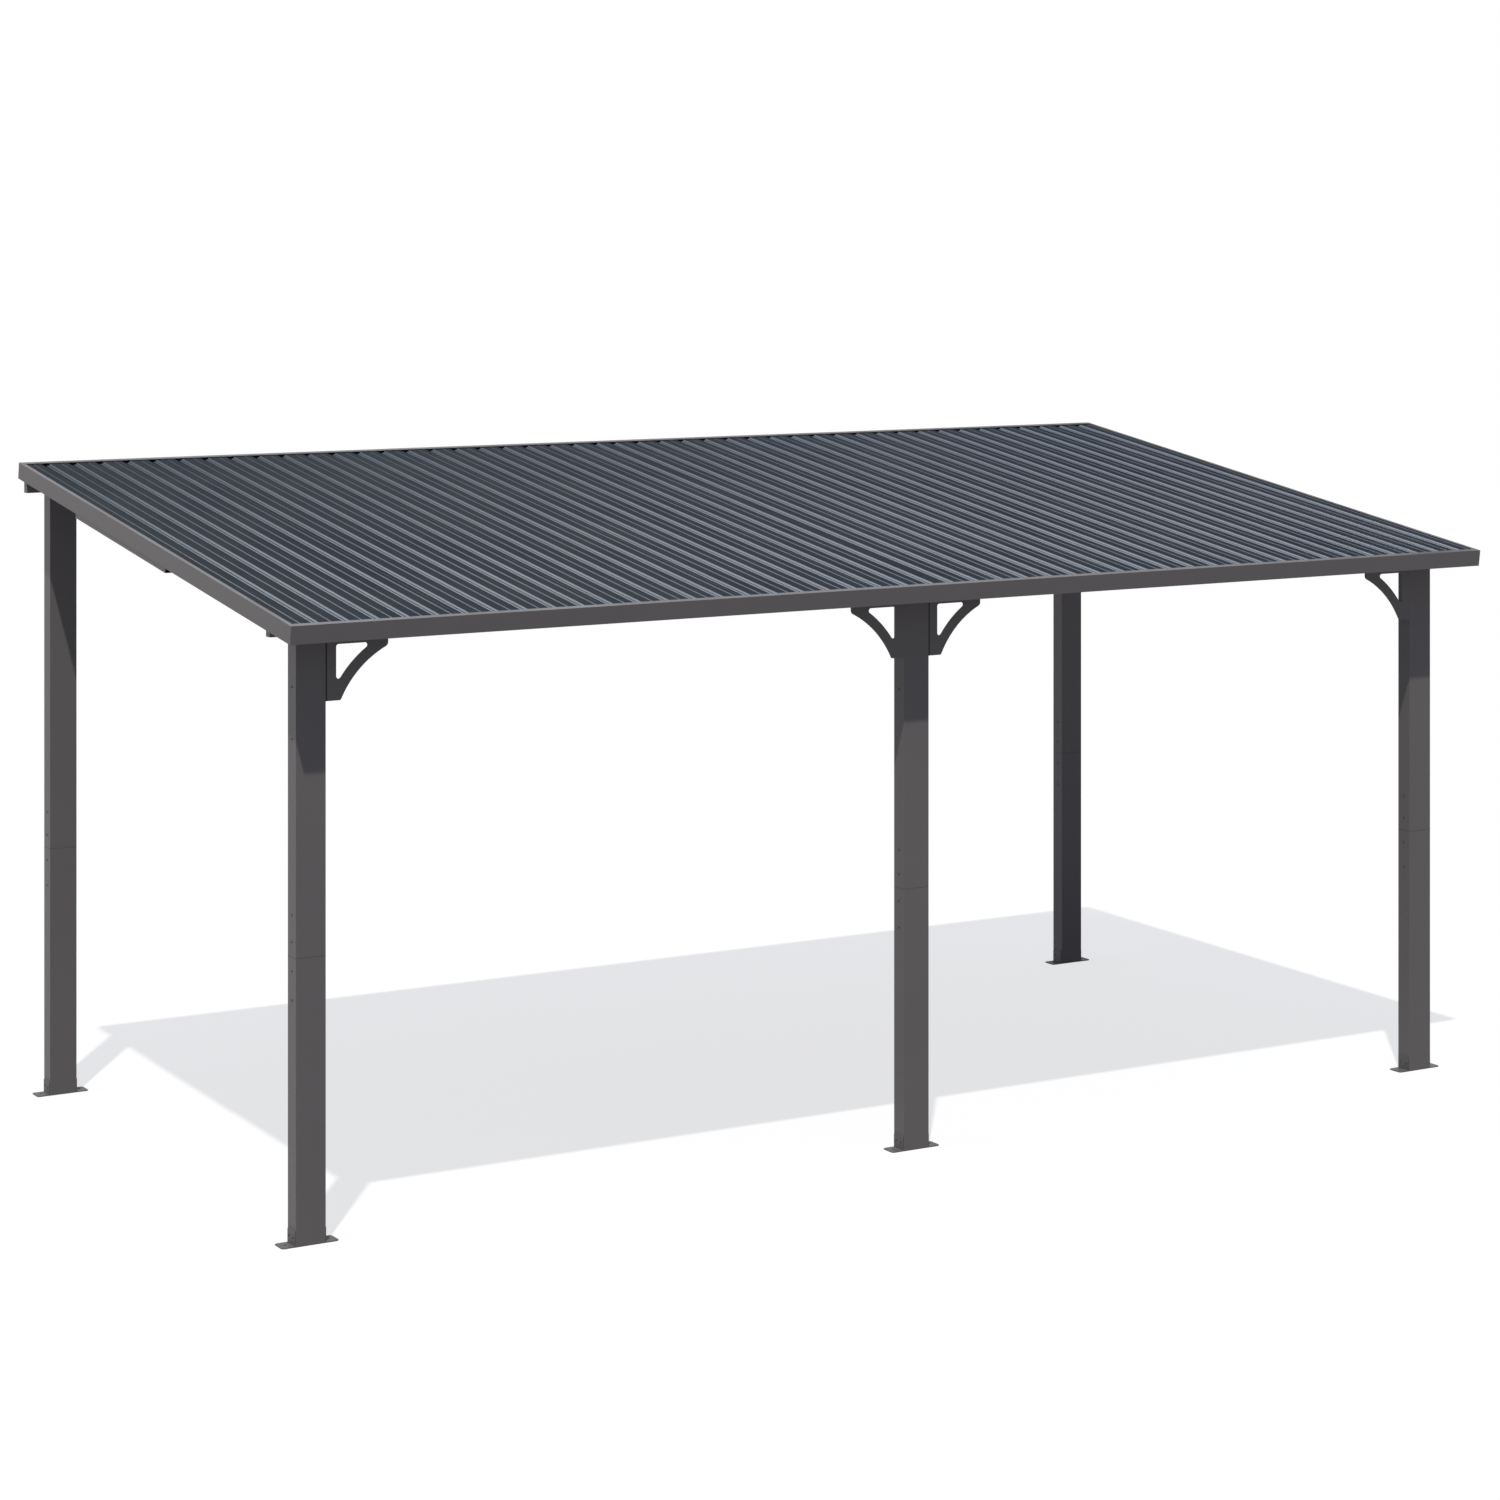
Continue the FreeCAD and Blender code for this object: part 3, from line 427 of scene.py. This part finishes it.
# Painted shade: the flanks' painted highlight fades up the slope, and the pans darken to the right.
uphill = ramp(tree, FLANK_SHADE_FROM, FLANK_SHADE_TO, 0.0, 1.0)
join(tree, spot_parts.outputs["Y"], uphill.inputs["Value"])
rightwards = ramp(tree, RIGHTWARD_SHADE_FROM, RIGHTWARD_SHADE_TO, 0.0, 1.0)
join(tree, spot_parts.outputs["X"], rightwards.inputs["Value"])
high_flank = blend_colour(tree, rightwards.outputs[0], HIGH_FLANK_BLUE, FAR_HIGH_FLANK_BLUE)
flank_colour = blend_colour(tree, uphill.outputs[0], FLANK_HIGHLIGHT_BLUE, high_flank)
pan_colour = blend_colour(tree, rightwards.outputs[0], PAN_BLUE, SHADED_FAR_PAN_BLUE)
amount = add_node(tree, "ShaderNodeMath", operation="MULTIPLY_ADD",
                  in_1=FAR_GROOVE_HIGHLIGHT_CUT - GROOVE_HIGHLIGHT_CUT, in_2=GROOVE_HIGHLIGHT_CUT)
join(tree, rightwards.outputs[0], amount.inputs[0])
# The grooves' flanks lose part of the painted highlight, more of it towards the right.
groove_highlight_cut = add_node(tree, "ShaderNodeMath", operation="MULTIPLY")
join(tree, add_node(tree, "ShaderNodeGroup", node_tree=groove_places).outputs["Mask"],
     groove_highlight_cut.inputs[0])
join(tree, amount.outputs[0], groove_highlight_cut.inputs[1])
groove_flank_colour = blend_colour(tree, groove_highlight_cut.outputs[0], flank_colour, pan_colour)
sheet_colour = blend_colour(tree, flank_highlight.outputs[0], pan_colour, groove_flank_colour)
finish_colour(tree, shader, coat, dust_and_sheen_node.outputs["Mask"], sheet_colour)
print("finish:", roof_paint.name)

# %% [markdown]
# A carried-over solid keeps its mesh, and only its material slot changes. The record says which
# slot each solid takes its finish from, so a small table from slot to material dresses them all.

# %% Dress the solids
SLOT_FINISH = {"frame_paint": frame_paint, "roof_sheet": roof_paint, "foot_paint": foot_paint}

slot_of = {part["node"]: part["material_slot"] for part in frame["record"]["subparts"]}
for node_name, node in nodes.items():
    node.data.materials.clear()
    node.data.materials.append(SLOT_FINISH[slot_of[node_name]])
print("dressed:", {slot: sum(s == slot for s in slot_of.values()) for slot in SLOT_FINISH})

# %% [markdown]
# Small fittings are made in mesh code with a few shared helpers. Each helper draws into a bmesh,
# so that all fittings of one kind can be one object. That is lighter than an object for each
# screw. One function then turns the bmesh into an object that rides on the gazebo.

# %% Helpers for small fittings
SHARP_ANGLE = math.radians(30)


def finished_piece(name, mesh_data, material):
    """Turn a bmesh into an object that rides on the gazebo."""
    mesh = bpy.data.meshes.new(name)
    bmesh.ops.recalc_face_normals(mesh_data, faces=mesh_data.faces)
    mesh_data.to_mesh(mesh)
    mesh_data.free()
    mesh.materials.append(material)
    mesh.polygons.foreach_set("use_smooth", [True] * len(mesh.polygons))
    mesh.set_sharp_from_angle(angle=SHARP_ANGLE)
    piece = bpy.data.objects.new(name, mesh)
    scene.collection.objects.link(piece)
    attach(piece, "root")
    print(name, "faces:", len(mesh.polygons))
    return piece


def turned(mesh_data, profile, place, turns=24):
    """Spin a profile of (radius, height) pairs round the local Z axis of a placement."""
    rings = []
    for radius, height in profile:
        if radius == 0:
            rings.append([mesh_data.verts.new(place @ Vector((0, 0, height)))] * turns)
            continue
        ring = []
        for i in range(turns):
            angle = math.tau * i / turns
            spot = Vector((radius * math.cos(angle), radius * math.sin(angle), height))
            ring.append(mesh_data.verts.new(place @ spot))
        rings.append(ring)
    for low, high in zip(rings, rings[1:]):
        for i in range(turns):
            j = (i + 1) % turns
            corners = list(dict.fromkeys((low[i], low[j], high[j], high[i])))
            if len(corners) > 2:
                mesh_data.faces.new(corners)


def facing_placement(spot, direction):
    """A placement whose local Z points along a direction."""
    turn = Vector(direction).to_track_quat("Z", "Y").to_matrix().to_4x4()
    return Matrix.Translation(spot) @ turn


print("fittings are smooth up to", round(math.degrees(SHARP_ANGLE)), "degrees")

# %% [markdown]
# The screws have a finish of blackened zinc, a dark metal that wears through in fine specks. One
# noise picks the specks and also drives the roughness, so that the worn spots are duller.

# %% Screw finish
ZINC_BLACK = (0.055, 0.055, 0.057, 1.0)
ZINC_BARE = (0.20, 0.20, 0.205, 1.0)
SPECK_SCALE = 1400.0
SPECKS_FROM, SPECKS_TO = 0.55, 0.72

screw_zinc, tree, shader = new_material("blackened_zinc")
shader.inputs["Metallic"].default_value = 0.75
speck = add_node(tree, "ShaderNodeTexNoise", in_Scale=SPECK_SCALE, in_Detail=3.0)
join(tree, position(tree), speck.inputs["Vector"])
worn = ramp(tree, SPECKS_FROM, SPECKS_TO, 0.0, 1.0)
join(tree, speck.outputs["Fac"], worn.inputs["Value"])
join(tree, blend_colour(tree, worn.outputs[0], ZINC_BLACK, ZINC_BARE), shader.inputs["Base Color"])
screw_rough = ramp(tree, 0.3, 0.7, 0.38, 0.55)
join(tree, speck.outputs["Fac"], screw_rough.inputs["Value"])
join(tree, screw_rough.outputs[0], shader.inputs["Roughness"])
print("finish:", screw_zinc.name)

# %% [markdown]
# The screws are self-drilling, with a pressed washer and a low domed head with a six-sided
# socket. From the gazebo's front they are dots, but from near by the washer's rim catches the
# light, so the head is a turned outline and not a disc. The socket is turned too, with six
# steps, which makes it a hexagon.

# %% A screw
HEAD_OUTLINE = (  # radius and height in metres, out from the middle of the washer's seat
    (0, -0.0004), (0.0049, -0.0004), (0.0051, 0.0002), (0.0049, 0.0006), (0.0040, 0.0008),
    (0.0038, 0.0019), (0.0032, 0.0026), (0.0022, 0.0030),
)
SOCKET_RADIUS = 0.0019
SOCKET_DEPTH = 0.0014
SOCKET_SIDES = 6


def add_screw(mesh_data, spot, direction):
    """A washer-headed screw with a six-sided socket, its washer seated on the spot."""
    seat = facing_placement(Vector(spot), direction)
    rim, top = HEAD_OUTLINE[-1]
    bottom = top - SOCKET_DEPTH
    turned(mesh_data, HEAD_OUTLINE, seat)
    turned(mesh_data, [(rim, top), (SOCKET_RADIUS, top)], seat)
    turned(mesh_data, [(SOCKET_RADIUS, top), (SOCKET_RADIUS, bottom), (0, bottom)], seat,
           turns=SOCKET_SIDES)


print("screw head:", HEAD_OUTLINE[-1][1] * 1000, "mm high")

# %% [markdown]
# Every post is two lengths on an inner sleeve. Two screws on each narrow side hold each length to
# the sleeve, on the middle line of the face. On two of the front posts two more sit higher up,
# where the braces' fixings come. The screws stand on the solids' own faces, so their places are
# read from the posts' boxes and not typed in.

# %% Screws in the posts
POST_SCREW_HEIGHTS = (0.905, 1.014, 1.122, 1.221)
UPPER_SCREW_HEIGHTS = {"front_left": (1.873, 2.065), "front_middle": (1.873, 2.065)}
POSTS = ("front_left", "front_middle", "front_right", "rear_left", "rear_right")

post_screws = bmesh.new()
for post in POSTS:
    low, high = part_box(f"{post}_post_upper")
    middle = (low.y + high.y) / 2
    heights = POST_SCREW_HEIGHTS + UPPER_SCREW_HEIGHTS.get(post, ())
    for height in heights:
        for x, outward in ((low.x, -1), (high.x, 1)):
            add_screw(post_screws, (x, middle, height), (outward, 0, 0))
finished_piece("post_screws", post_screws, screw_zinc)

# %% [markdown]
# Two screws through each cheek of a foot hold the post down. They sit side by side, 30 mm above
# the plate. The cheek's outer face is found from the post's face, the clearance and the cheek's
# thickness, because the foot's own box reaches out to the ends of its tabs.

# %% Screws in the feet
CHEEK_SCREW_LIFT = 0.034
CHEEK_SCREW_SPREAD = 0.018
FOOT_CHEEK = 0.003
FOOT_CLEARANCE = 0.0003

foot_screws = bmesh.new()
for post in POSTS:
    low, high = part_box(f"{post}_post_lower")
    middle = (low.y + high.y) / 2
    for x, outward in ((low.x - FOOT_CLEARANCE - FOOT_CHEEK, -1),
                       (high.x + FOOT_CLEARANCE + FOOT_CHEEK, 1)):
        for shift in (-CHEEK_SCREW_SPREAD, CHEEK_SCREW_SPREAD):
            add_screw(foot_screws, (x, middle + shift, CHEEK_SCREW_LIFT), (outward, 0, 0))
finished_piece("foot_screws", foot_screws, screw_zinc)

# %% [markdown]
# Dirt gathers in the seams of the frame and mottles them. One function makes such a dull finish
# between two near colours. The seams of the posts take a pale kind, and the painted shade beside
# the braces, further down, a darker one.

# %% Grime in seams, and a finish for painted shade
GRIME_SCALE = 60.0
JOINT_DARK, JOINT_LIGHT = (0.062, 0.058, 0.057, 1.0), (0.096, 0.090, 0.088, 1.0)


def grime_and_shade_finish(name, dark, light):
    """A dull material between two near colours, mottled by a fine noise."""
    material, tree, shader = new_material(name, roughness=0.7, specular=0.1)
    grime = add_node(tree, "ShaderNodeTexNoise", in_Scale=GRIME_SCALE, in_Detail=4.0)
    join(tree, position(tree), grime.inputs["Vector"])
    join(tree, blend_colour(tree, grime.outputs["Fac"], dark, light), shader.inputs["Base Color"])
    return material


joint_grime = grime_and_shade_finish("joint_grime", JOINT_DARK, JOINT_LIGHT)
print("finish:", joint_grime.name)

# %% [markdown]
# Where the two lengths of a post meet, the cut edges leave a fine dark line all the way round. A
# dark band in the paint would do from afar, but a ring two tenths of a millimetre proud of the
# tube, with the tube's own rounded corners, stays sharp from near by.

# %% Joint lines round the posts
JOINT_HEIGHT = 1.066
JOINT_LINE = 0.0022
JOINT_PROUD = 0.0002
POST_CORNER = 0.001
CORNER_STEPS = 5


def rounded_outline(low, high, corner, proud):
    """Points round a rectangle with rounded corners, in plan."""
    left, right = low.x + corner, high.x - corner
    front, rear = low.y + corner, high.y - corner
    points = []
    for x, y, start in ((right, rear, 0), (left, rear, 90), (left, front, 180), (right, front, 270)):
        for i in range(CORNER_STEPS + 1):
            angle = math.radians(start + 90 * i / CORNER_STEPS)
            points.append((x + (corner + proud) * math.cos(angle),
                           y + (corner + proud) * math.sin(angle)))
    return points


line_low = JOINT_HEIGHT - JOINT_LINE / 2
line_high = JOINT_HEIGHT + JOINT_LINE / 2
joint_rings = bmesh.new()
for post in POSTS:
    low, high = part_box(f"{post}_post_upper")
    outer = rounded_outline(low, high, POST_CORNER, JOINT_PROUD)
    inner = rounded_outline(low, high, POST_CORNER, -JOINT_PROUD)
    levels = [(inner, line_low), (outer, line_low + JOINT_PROUD),
              (outer, line_high - JOINT_PROUD), (inner, line_high)]
    loops = [[joint_rings.verts.new((x, y, z)) for x, y in points] for points, z in levels]
    for near, far in zip(loops, loops[1:] + loops[:1]):
        for i in range(len(near)):
            j = (i + 1) % len(near)
            joint_rings.faces.new((near[i], near[j], far[j], far[i]))
finished_piece("post_joint_lines", joint_rings, joint_grime)

# %% [markdown]
# The brace's folded leg doesn't lie tight against its post, and the narrow gap between them lies
# in shade. From the low front left it shows beside the braces that stand to the right of a post. A
# strip a few tenths of a millimetre proud of the brace's edge, in a near-black finish, is painted
# shade that stands for that dark line.

# %% Painted shade beside the braces
GAP_SHADE_WIDTH = 0.0045
GAP_SHADE_PROUD = 0.0004
GAP_SHADE_DARK, GAP_SHADE_LIGHT = (0.016, 0.016, 0.016, 1.0), (0.032, 0.031, 0.031, 1.0)

# Painted shade: a near-black strip along the brace's edge stands for the shade in the gap.
gap_shadow = grime_and_shade_finish("gap_shadow", GAP_SHADE_DARK, GAP_SHADE_LIGHT)
brace_gap_shade = bmesh.new()
for brace in ("front_left_brace", "front_middle_right_brace"):
    low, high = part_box(brace)
    size = Vector((GAP_SHADE_WIDTH, 2 * GAP_SHADE_PROUD, high.z - low.z))
    middle = Vector((low.x + GAP_SHADE_WIDTH / 2, low.y, (low.z + high.z) / 2))
    strip = Matrix.Translation(middle) @ Matrix.Diagonal((*size, 1))
    bmesh.ops.create_cube(brace_gap_shade, matrix=strip)
finished_piece("brace_gap_shade", brace_gap_shade, gap_shadow)

# %% [markdown]
# At the roof's high end a foam closure fills each channel under the rear trim's flange. It is
# painted near black, as painted shade for the dark hollow there. Foam has open pores. A cell
# texture has the look of pores, and it gives both the colour and the height of the bump.

# %% Closure foam, painted near black as shade
# Painted shade: near-black foam colours that make the channel ends read as deep shade.
FOAM_SHADE_DEEP, FOAM_SHADE_SKIN = (0.0015, 0.0015, 0.0015, 1.0), (0.006, 0.006, 0.006, 1.0)
PORE_SCALE = 900.0

closure_shade_foam, tree, shader = new_material("closure_shade_foam", roughness=0.95, specular=0.05)
pores = add_node(tree, "ShaderNodeTexVoronoi", in_Scale=PORE_SCALE)
join(tree, position(tree), pores.inputs["Vector"])
join(tree, blend_colour(tree, pores.outputs["Distance"], FOAM_SHADE_DEEP, FOAM_SHADE_SKIN),
     shader.inputs["Base Color"])
pore_bump = add_node(tree, "ShaderNodeBump", in_Strength=0.4, in_Distance=0.0006)
join(tree, pores.outputs["Distance"], pore_bump.inputs["Height"])
join(tree, pore_bump.outputs["Normal"], shader.inputs["Normal"])
print("finish:", closure_shade_foam.name)

# %% [markdown]
# The closures lie square to the roof, which slopes by eight degrees. It is easier to place them
# along the slope and out of it than in plain Y and Z, so the roof gets its own directions.

# %% The roof's own directions
ROOF_PITCH = math.radians(8)
EAVE_HEIGHT = 2.320
ROOF_PLAN_DEPTH = 2.943
EAVE = Vector((0, cad_box[0][1], EAVE_HEIGHT))
UP_SLOPE = Vector((0, math.cos(ROOF_PITCH), math.sin(ROOF_PITCH)))
OUT_OF_ROOF = Vector((0, -math.sin(ROOF_PITCH), math.cos(ROOF_PITCH)))
ROOF_DEPTH = ROOF_PLAN_DEPTH / math.cos(ROOF_PITCH)


def on_roof(x, up, out):
    """A point on the roof: along X, up the slope from the front edge, and out of its top plane."""
    return EAVE + Vector((x, 0, 0)) + UP_SLOPE * up + OUT_OF_ROOF * out


print("depth up the slope:", round(ROOF_DEPTH, 4))

# %% [markdown]
# Seen from the front, the closures are a row of small black notches under the flange's edge,
# painted shade for the hollows there. Each is a short block with the outline of its channel, drawn
# at both ends and joined round, so it fills the channel and leaves the pans free.

# %% Foam closures in the channel ends, as painted shade
CLOSURE_LENGTH = 0.030
CLOSURE_FAR = ROOF_DEPTH - 0.005
CLOSURE_NEAR = CLOSURE_FAR - CLOSURE_LENGTH
CLOSURE_SIDE = (  # half width of the closure, and depth under the roof's top plane
    (0.0202, 0.0021), (0.0202, 0.0031), (0.0163, 0.0091), (0.0107, 0.0092), (0.0083, 0.0131),
)

channel_end_shades = bmesh.new()
for line in channel_lines:
    ends = []
    for up in (CLOSURE_NEAR, CLOSURE_FAR):
        corners = [(-half, depth) for half, depth in CLOSURE_SIDE]
        corners += [(half, depth) for half, depth in CLOSURE_SIDE[::-1]]
        ends.append([channel_end_shades.verts.new(on_roof(line + dx, up, -depth)) for dx, depth in corners])
    channel_end_shades.faces.new(ends[0])
    channel_end_shades.faces.new(ends[1][::-1])
    for i in range(len(ends[0])):
        j = (i + 1) % len(ends[0])
        channel_end_shades.faces.new((ends[0][i], ends[1][i], ends[1][j], ends[0][j]))
finished_piece("channel_end_shade_blocks", channel_end_shades, closure_shade_foam)

# %% [markdown]
# A studio shows the object on white. Lighting the floor until it is white would wash the object
# out as well. Instead the floor and the world tell rays that come straight from the camera, or by
# a mirror or glass, from the ones that carry light. One mask does that for both, in a material's
# tree and in the world's.

# %% Rays that see the background
def seen_directly(tree):
    """One for camera, glossy and transmission rays, and nought for the rest."""
    rays = add_node(tree, "ShaderNodeLightPath")
    camera_or_glossy = add_node(tree, "ShaderNodeMath", operation="MAXIMUM")
    join(tree, rays.outputs["Is Camera Ray"], camera_or_glossy.inputs[0])
    join(tree, rays.outputs["Is Glossy Ray"], camera_or_glossy.inputs[1])
    any_of_three = add_node(tree, "ShaderNodeMath", operation="MAXIMUM")
    join(tree, camera_or_glossy.outputs[0], any_of_three.inputs[0])
    join(tree, rays.outputs["Is Transmission Ray"], any_of_three.inputs[1])
    return any_of_three.outputs[0]


WHITE = (1.0, 1.0, 1.0, 1.0)
print("background rays: camera, glossy, transmission")

# %% [markdown]
# The floor is plain and pale. To the camera it fades to pure white away from the gazebo, as a
# studio sweep does, and near the gazebo it keeps the shadow. A curved sweep would do the same,
# but a flat floor has no far edge in other views.

# %% Floor
FLOOR_HALF_SIZE = 90.0
FLOOR_GREY, FLOOR_PALE = (0.36, 0.36, 0.36, 1.0), (0.86, 0.86, 0.86, 1.0)
FADE_FROM, FADE_TO = 4.0, 8.0
WHITE_NEAR_BY = 0.72

floor_mesh = bpy.data.meshes.new("floor")
floor_shape = bmesh.new()
bmesh.ops.create_grid(floor_shape, x_segments=1, y_segments=1, size=FLOOR_HALF_SIZE)
floor_shape.to_mesh(floor_mesh)
floor_shape.free()
floor = bpy.data.objects.new("floor", floor_mesh)
scene.collection.objects.link(floor)
pale_floor, tree, shader = new_material("pale_floor", roughness=0.9, specular=0.0)
seen = seen_directly(tree)
join(tree, blend_colour(tree, seen, FLOOR_GREY, FLOOR_PALE), shader.inputs["Base Color"])
white = add_node(tree, "ShaderNodeEmission", in_Color=WHITE, in_Strength=1.0)
reach = add_node(tree, "ShaderNodeVectorMath", operation="LENGTH")
join(tree, position(tree), reach.inputs[0])
away = ramp(tree, FADE_FROM, FADE_TO, WHITE_NEAR_BY, 1.0)
join(tree, reach.outputs["Value"], away.inputs["Value"])
fade = add_node(tree, "ShaderNodeMath", operation="MULTIPLY")
join(tree, seen, fade.inputs[0])
join(tree, away.outputs[0], fade.inputs[1])
sweep = add_node(tree, "ShaderNodeMixShader")
join(tree, fade.outputs[0], sweep.inputs[0])
join(tree, shader.outputs[0], sweep.inputs[1])
join(tree, white.outputs[0], sweep.inputs[2])
join(tree, sweep.outputs[0], tree.nodes["Material Output"].inputs["Surface"])
floor_mesh.materials.append(pale_floor)
print("floor:", floor.name)

# %% [markdown]
# One soft sun from the front left and above gives the roof's edge its shadow on the posts. A
# broad lamp far out on the left lifts the faces that look that way. Both are sun lamps, because
# the gazebo is large and a near lamp would light one end more than the other.

# %% Lamps
def add_sun(name, strength, width, travel, colour=(1.0, 1.0, 1.0)):
    """A sun lamp of an angular width in degrees, shining along a direction."""
    data = bpy.data.lights.new(name, "SUN")
    data.energy = strength
    data.angle = math.radians(width)
    data.color = colour
    lamp = bpy.data.objects.new(name, data)
    lamp.rotation_euler = Vector(travel).to_track_quat("-Z", "Y").to_euler()
    scene.collection.objects.link(lamp)
    print(name, "strength:", strength)


add_sun("soft_sun", strength=3.3, width=0.9, travel=(0.72, 1.0, -2.57), colour=(1.0, 0.985, 0.96))
add_sun("left_fill", strength=0.52, width=40, travel=(1.0, -0.15, -0.3))

# %% [markdown]
# The world fills the rest evenly with a cool light, as an open sky does, so that shaded faces
# turn a little blue. To the camera and to reflections it is plain white.

# %% World
SKY_COLOUR = (0.85, 0.93, 1.34, 1.0)
SKY_STRENGTH = 0.29

world = bpy.data.worlds.new("studio")
scene.world = world
world.use_nodes = True
tree = world.node_tree
background = tree.nodes["Background"]
background.inputs["Color"].default_value = SKY_COLOUR
background.inputs["Strength"].default_value = SKY_STRENGTH
plain_white = add_node(tree, "ShaderNodeBackground", in_Color=WHITE, in_Strength=1.0)
choose = add_node(tree, "ShaderNodeMixShader")
join(tree, seen_directly(tree), choose.inputs[0])
join(tree, background.outputs[0], choose.inputs[1])
join(tree, plain_white.outputs[0], choose.inputs[2])
join(tree, choose.outputs[0], tree.nodes["World Output"].inputs["Surface"])
scene.view_settings.view_transform = "Standard"
print("world:", world.name)
